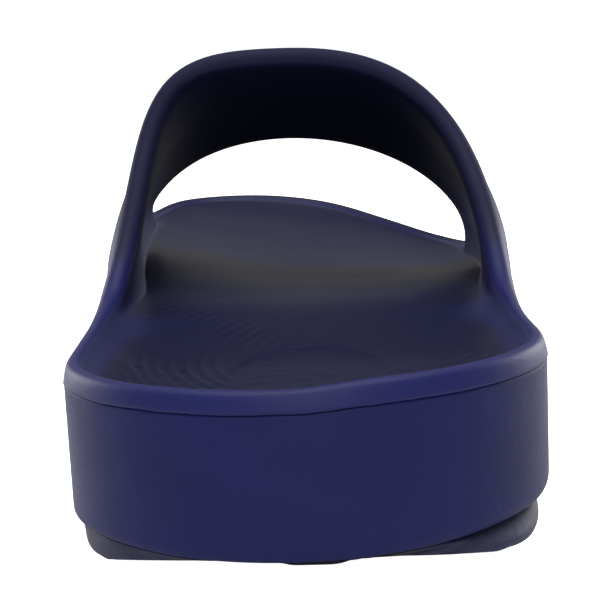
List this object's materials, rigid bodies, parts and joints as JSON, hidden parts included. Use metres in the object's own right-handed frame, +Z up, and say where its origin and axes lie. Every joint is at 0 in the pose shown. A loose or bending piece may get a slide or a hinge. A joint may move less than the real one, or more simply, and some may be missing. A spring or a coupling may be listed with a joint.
{
  "type": "slide sandal",
  "caption": "Right-foot sport slide sandal of moulded foam, with one wide instep strap, a raised rim round the footbed and a thick straight-walled sole.",
  "frame": {"origin": "middle of the sole's plan, on the floor plane", "axes": "+Z up, +Y from heel to toe, +X to the little-toe side"},
  "size_m": [0.1054, 0.286, 0.084],
  "materials": {
    "foam_upper": "matte navy moulded foam with a smooth skin",
    "foam_wall": "matte navy moulded foam with a fine grain",
    "tread": "dull greyish navy tread with a coarse grain"
  },
  "bodies": {
    "root": {"upper_footbed": "foam_upper", "midsole": "foam_wall", "outsole": "tread"}
  },
  "joints": []
}
